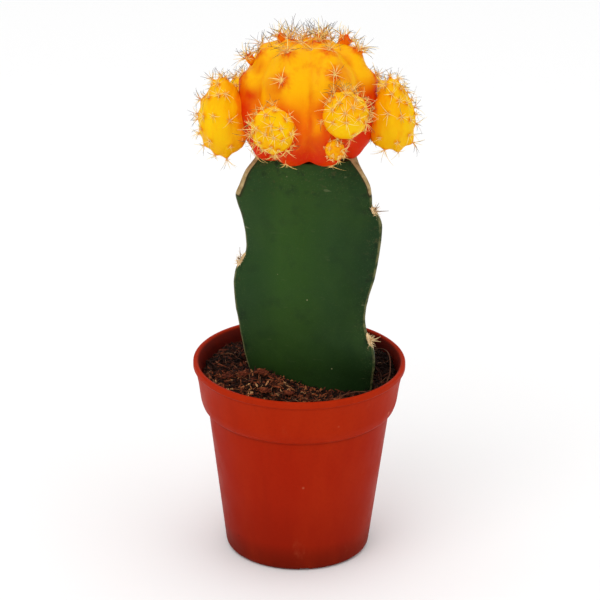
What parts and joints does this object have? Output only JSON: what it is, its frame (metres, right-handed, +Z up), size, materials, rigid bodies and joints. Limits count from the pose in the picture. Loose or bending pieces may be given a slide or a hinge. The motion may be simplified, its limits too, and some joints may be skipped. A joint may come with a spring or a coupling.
{
  "type": "potted moon cactus",
  "caption": "Moon cactus: an orange ribbed globe with yellow offsets, grafted on a green three-ribbed stem that stands in potting mix in a small round nursery pot.",
  "frame": {"origin": "the middle of the pot's underside, on the surface that the pot stands on", "axes": "+Z up; the front, where pup_front_left and pup_front_right are, faces -Y; +X is to the right as seen from the front"},
  "size_m": [0.0563, 0.0557, 0.1385],
  "materials": {
    "pot_plastic": "satin terracotta-red plastic",
    "potting_mix": "loose damp coir and bark",
    "rootstock_skin": "smooth waxy green skin",
    "scion_skin": "smooth waxy orange skin",
    "pup_skin": "smooth waxy yellow skin",
    "bud_skin": "smooth waxy red-orange skin",
    "bark": "rough bark",
    "coir": "dry fibre"
  },
  "bodies": {
    "root": {"pot": "pot_plastic", "potting_mix": "potting_mix", "rootstock": "rootstock_skin", "scion": "scion_skin", "pup_left": "pup_skin", "pup_front_left": "pup_skin", "pup_front_right": "pup_skin", "pup_low_right": "pup_skin", "pup_right": "pup_skin", "pup_back_right": "pup_skin", "pup_back": "pup_skin", "pup_back_left": "pup_skin", "bud_left": "bud_skin", "bud_crown_left": "bud_skin", "bud_crown": "bud_skin", "bud_crown_right": "bud_skin", "bud_right": "bud_skin", "bark_chip_1": "bark", "bark_chip_2": "bark", "bark_chip_3": "bark", "bark_chip_4": "bark", "bark_chip_5": "bark", "bark_chip_6": "bark", "bark_chip_7": "bark", "coir_fibre_1": "coir", "coir_fibre_2": "coir", "coir_fibre_3": "coir"}
  },
  "joints": []
}
